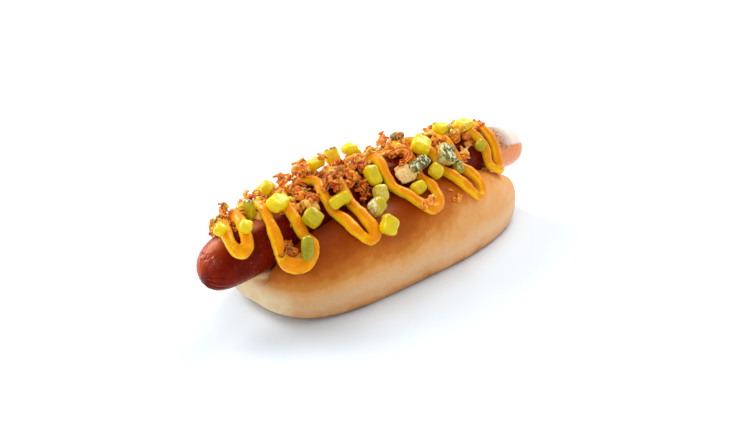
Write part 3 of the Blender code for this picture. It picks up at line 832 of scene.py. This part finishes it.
def makeCurledSlice(material):
    # half rings of one slice, nested, open towards the left
    nodeName = f"onion_{curledOnion:02d}"
    low, high = (np.array(corner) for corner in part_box(nodeName))
    centre = (low + high) / 2
    parts = []
    for k, (reach, tint) in enumerate(curlLook["rings"]):
        bpy.ops.object.select_all(action="DESELECT")
        bpy.ops.mesh.primitive_torus_add(major_radius=curlLook["radius"] * reach, minor_segments=10,
                                         minor_radius=curlLook["thickness"], major_segments=40)
        ring = bpy.context.object
        ring.name = f"halfRing{k}"
        ring.scale = (1.0, 0.5, 1.15)
        bpy.ops.object.transform_apply(location=False, rotation=False, scale=True)
        selectNothing()
        for face in ring.data.polygons:
            face.select = face.center.x < -3.5 * mm * reach
        bpy.ops.object.mode_set(mode="EDIT")
        bpy.ops.mesh.delete(type="FACE")
        bpy.ops.mesh.select_all(action="SELECT")
        bpy.ops.mesh.fill_holes(sides=0)
        bpy.ops.object.mode_set(mode="OBJECT")
        soften(ring, 1)
        lumps(ring, 3.0 * mm, 1.2 * mm, 2)
        lumps(ring, 0.9 * mm, 0.3 * mm, 1)
        count = len(ring.data.vertices)
        paintValues(ring, "tint", np.full(count, tint))
        # painted light: the rings lighter where they face up
        paintValues(ring, "rim", ramp(normals(ring)[:, 2], 0.3, 0.9) * 0.8)
        ring.data.transform(Matrix.Translation(Vector(curlLook["step"]) * k))
        parts.append(ring)
    curl = joined(parts, f"onionLump{curledOnion:02d}")
    turn = (Matrix.Rotation(math.radians(curlLook["tilt"]), 4, "X")
            @ Matrix.Rotation(math.radians(curlLook["swing"]), 4, "Z"))
    curl.data.transform(Matrix.Translation(Vector(centre) + Vector(curlLook["shift"]) * mm) @ turn)
    finishPiece(curl, material, "fried_onion", nodeName)
    return curl


bases = [baseFlake(1, 5.4, 3.4, 90), baseFlake(2, 4.8, 2.8, 130), baseFlake(3, 7.0, 1.7, 170, 8, 2, 1, 0.0),
         baseFlake(4, 4.0, 3.0, 60), baseFlake(5, 6.0, 1.4, 230, 8, 2, 1, 0.0), baseFlake(6, 3.4, 2.6, 100),
         baseFlake(7, 8.0, 1.3, 150, 9, 2, 1, 0.0)]
onions = makeOnions(bases)
print("onions:", len(onions))


heapLook = {
    # how far the loose toppings come down the near side: place along the hot dog in mm, lean in degrees
    "edge": [(-98, -12), (-90, -4), (-84, -2), (-78, 2), (-74, 10), (-68, 12), (-62, 22), (-55, 22),
             (-48, 26), (-42, 26), (-36, 18), (-26, 16), (-18, 6), (-10, 2), (-3, 6), (4, 14), (12, 10),
             (18, 18), (26, 26), (32, 16), (40, 14), (46, 10), (52, 6), (58, 3), (61, 0)],
    "reach": (-94, 61), "farEdge": -38,
    "core": 22 * mm,                                    # height of the line that the leans are taken round
    # tint range by place along the hot dog
    "tints": [(-98, 0.15, 0.75), (-55, 0.15, 0.75), (-35, 0.35, 1.0), (0, 0.15, 0.75), (61, 0.3, 0.9)],
    # scraps that rolled off the heap: place in mm, lean in degrees, how many, how far they scatter in mm
    "spills": [(-73.5, 50, 16, 2.2), (-74, 66, 22, 2.4), (-46, 62, 2, 1.5), (-12, 42, 3, 3.0),
               (12, 66, 3, 2.5), (52, 55, 3, 2.0), (-66, 25, 3, 3.0), (44, 22, 4, 3.0), (-88, 6, 3, 2.5)],
    "spillTints": (0.2, 0.7),
    # how many of each, and how they lie: lift off the skin in mm, tilt in degrees, sizes
    "under": 300, "underLie": ((0.5, 4.0), 40, (0.9, 1.5)),
    "scraps": 180, "scrapLie": ((0.1, 0.8), 45, (0.7, 1.3)),
    "crumbs": 300, "crumbLie": ((0.0, 0.4), 50, (0.6, 1.1)),
    "spillLie": ((0.2, 1.8), 35, (0.8, 1.5)),
    # how often one stays on the bread, the mustard, the pickles, the onions and other scraps
    "stays": [1.0, 0.15, 0.05, 0.6, 1.0],
    "bits": 80, "bitStays": [1.0, 0.3, 0.02, 0.5, 1.0],
    # how far short of the heap's near edge they keep, in degrees
    "crumbMargin": -2.0, "bitMargin": 4.0,
}


def outside(tree, x, lean, reach=60 * mm):
    # the first skin met on the way in to the middle of the hot dog at x, from that lean
    core = Vector((x * mm, 0, heapLook["core"]))
    out = Vector((0, -math.sin(math.radians(lean)), math.cos(math.radians(lean))))
    spot, normal, face, away = tree.ray_cast(core + out * reach, -out)
    return spot, normal, reach - away if spot else 0.0


def heapSpot(chance, trees, margin=0.0):
    # a random place in the heap, and the highest skin there: its point, normal, and which tree it is on
    x = chance.uniform(*heapLook["reach"])
    edge = np.interp(x, *zip(*heapLook["edge"])) - margin
    lean = chance.uniform(heapLook["farEdge"], max(edge, heapLook["farEdge"] + 5))
    hits = [outside(tree, x, lean) for tree in trees]
    top = max(range(len(trees)), key=lambda k: hits[k][2])
    spot, normal, height = hits[top]
    return x, spot, normal, top


def heapTints(x):
    at, low, high = zip(*heapLook["tints"])
    return np.interp(x, at, low), np.interp(x, at, high)


def laidScrap(chance, bases, spot, normal, lie, tints, name):
    lift, tilt, sizes = lie
    matrix = (Matrix.Translation(spot + normal * chance.uniform(*lift) * mm) @ layFlat(normal, chance, tilt)
              @ Matrix.Scale(chance.uniform(*sizes), 4))
    return placedCopy(chance.choice(bases), matrix, chance.uniform(*tints), name)


def layer(chance, bases, count, trees, stays, lie, name, margin=0.0):
    # that many scraps on the highest skins; without stays, every one of them stays where it falls
    made = []
    while len(made) < count:
        x, spot, normal, top = heapSpot(chance, trees, margin)
        if spot is None or (stays and chance.random() > stays[top]):
            continue
        made.append(laidScrap(chance, bases, spot, normal, lie, heapTints(x), f"{name}{len(made)}"))
    return made


def makeHeap(bigBases, smallBases):
    chance = random.Random(77)
    breadTree = skinTree(bun, sausage)
    mustardTree, pickleTree, onionTree = skinTree(mustard), skinTree(*pickles), skinTree(*onions)
    # scraps that fill the gaps, on the bread and the sausage
    scraps = layer(chance, bigBases, heapLook["under"], [breadTree], [], heapLook["underLie"], "scrap")
    trees = [breadTree, mustardTree, pickleTree, onionTree, skinTree(*scraps)]
    stays = list(heapLook["stays"])
    loose = layer(chance, bigBases, heapLook["scraps"], trees, stays, heapLook["scrapLie"], "loose")
    trees.append(skinTree(*loose))
    stays.append(1.0)
    crumbs = layer(chance, smallBases, heapLook["crumbs"], trees, stays, heapLook["crumbLie"], "crumb",
                   heapLook["crumbMargin"])
    for x, lean, count, scatter in heapLook["spills"]:
        for k in range(count):
            at = x + chance.uniform(-scatter, scatter)
            leaned = lean + 2 * chance.uniform(-scatter, scatter)
            spot, normal, height = outside(breadTree, at, leaned)
            crumbs.append(laidScrap(chance, smallBases, spot, normal, heapLook["spillLie"],
                                    heapLook["spillTints"], f"spill{len(crumbs)}"))
    flakes, grains = joined(scraps + loose, "onionScraps"), joined(crumbs, "onionCrumbs")
    for piece in (flakes, grains):
        finishPiece(piece, bpy.data.materials["friedOnion"], "fried_onion")
    return flakes, grains


def baseBit(number, size):
    # a small uneven dice of pickle at the origin
    bpy.ops.object.select_all(action="DESELECT")
    bpy.ops.mesh.primitive_cube_add(size=1.0)
    bit = bpy.context.object
    bit.name = f"baseBit{number}"
    bit.scale = [value * mm for value in size]
    bpy.ops.object.transform_apply(location=False, rotation=False, scale=True)
    bpy.ops.object.mode_set(mode="EDIT")
    bpy.ops.mesh.select_all(action="SELECT")
    bpy.ops.mesh.bevel(offset=0.5 * mm, segments=1, affect="EDGES")
    bpy.ops.transform.vertex_random(offset=0.25 * mm, seed=number)
    bpy.ops.object.mode_set(mode="OBJECT")
    soften(bit, 1)
    return bit


def makeBits(bitBases):
    chance = random.Random(31)
    trees = [skinTree(bun, sausage), skinTree(mustard), skinTree(*pickles), skinTree(*onions),
             skinTree(flakes)]
    parts = []
    while len(parts) < heapLook["bits"]:
        x, spot, normal, top = heapSpot(chance, trees, heapLook["bitMargin"])
        if spot is None or chance.random() > heapLook["bitStays"][top]:
            continue
        angle = chance.uniform(0, 6.28)
        axis = Vector([chance.uniform(-1, 1) for k in range(3)]).normalized()
        matrix = (Matrix.Translation(spot + normal * 0.5 * mm) @ Matrix.Rotation(angle, 4, axis)
                  @ Matrix.Scale(chance.uniform(0.7, 1.3), 4))
        bit = placedCopy(chance.choice(bitBases), matrix, 0.0, f"bit{len(parts)}")
        paintPickle(bit, chance.choice((0.0, 0.0, 0.1, 0.3, 0.6)), chance.choice((0.0, 0.0, 0.6)),
                    chance.choice((0.0, 0.0, 0.0, 0.8)))
        parts.append(bit)
    bits = joined(parts, "pickleBits")
    finishPiece(bits, bpy.data.materials["pickleFlesh"], "pickle")
    return bits


bigBases = [baseFlake(21, 5.2, 3.2, 90, 6, 4, 0), baseFlake(22, 4.6, 2.6, 140, 6, 3, 0),
            baseFlake(23, 7.0, 1.5, 190, 9, 2, 0, 0.0), baseFlake(24, 4.2, 3.0, 60, 5, 4, 0),
            baseFlake(25, 8.0, 1.3, 230, 10, 2, 0, 0.0), baseFlake(26, 5.8, 2.0, 130, 8, 2, 0, 0.0)]
smallBases = [baseFlake(11, 3.4, 1.6, 110, 5, 2, 0, 0.0), baseFlake(12, 2.8, 2.0, 80, 4, 3, 0, 0.1),
              baseFlake(13, 4.6, 1.0, 170, 7, 2, 0, 0.0), baseFlake(14, 2.2, 1.6, 60, 4, 2, 0, 0.0)]
flakes, crumbs = makeHeap(bigBases, smallBases)
bitBases = [baseBit(1, (2.6, 2.0, 1.8)), baseBit(2, (2.0, 1.6, 1.4)), baseBit(3, (3.2, 1.8, 1.5))]
bits = makeBits(bitBases)
for base in bases + bigBases + smallBases + bitBases:
    bpy.data.objects.remove(base)
print("heap:", [len(piece.data.polygons) for piece in (flakes, crumbs, bits)], "faces")


studio = {
    "target": (-0.0128, 0.0, 0.0202), "distance": 0.4135, "azimuth": -43.9, "elevation": 24.95,
    "lens": 43.3, "sensor": 36.0,
    "floor": paint(232, 242, 250), "floorSize": 6.0, "world": 0.7, "lightDistance": 2.0,
    # softboxes: how far round from the camera and how high, in degrees, size in metres, and watts
    "lights": {"windowRight": (150, 46, (1.1, 1.1), 22.0), "windowLeft": (-118, 33, (1.3, 1.2), 34.0),
               "front": (-20, 34, (0.7, 0.7), 5.0)},
}


def backwards(azimuth, elevation):
    # the way from the hot dog to a place seen at that azimuth and elevation
    turn, rise = math.radians(azimuth), math.radians(elevation)
    return Vector((math.sin(turn) * math.cos(rise), -math.cos(turn) * math.cos(rise), math.sin(rise)))


def aimAt(thing, back, distance):
    bpy.context.scene.collection.objects.link(thing)
    thing.location = Vector(studio["target"]) + back * distance
    thing.rotation_euler = (-back).to_track_quat("-Z", "Y").to_euler()


def areaLight(name, azimuth, elevation, size, watts):
    light = bpy.data.lights.new(name, "AREA")
    light.shape = "RECTANGLE"
    light.size, light.size_y = size
    light.energy = watts
    back = backwards(studio["azimuth"] + azimuth, elevation)
    aimAt(bpy.data.objects.new(name, light), back, studio["lightDistance"])


def setUpStudio():
    bpy.ops.object.select_all(action="DESELECT")
    bpy.ops.mesh.primitive_plane_add(size=studio["floorSize"])
    floor = bpy.context.object
    floor.name = "paleFloor"
    material, tree, surface = newMaterial("floorWhite", Roughness=0.9)
    surface.inputs["Base Color"].default_value = studio["floor"]
    floor.data.materials.append(material)

    world = bpy.data.worlds.new("studioWorld")
    world.use_nodes = True
    sky = world.node_tree.nodes["Background"]
    sky.inputs["Color"].default_value = (1, 1, 1, 1)
    sky.inputs["Strength"].default_value = studio["world"]
    bpy.context.scene.world = world

    for name, settings in studio["lights"].items():
        areaLight(name, *settings)

    camera = bpy.data.objects.new("camera", bpy.data.cameras.new("camera"))
    camera.data.lens = studio["lens"]
    camera.data.sensor_width = studio["sensor"]
    camera.data.clip_start = 0.01
    aimAt(camera, backwards(studio["azimuth"], studio["elevation"]), studio["distance"])
    bpy.context.scene.camera = camera
    bpy.context.scene.view_settings.view_transform = "Standard"
    bpy.context.scene.view_settings.look = "None"


setUpStudio()
print("studio set")
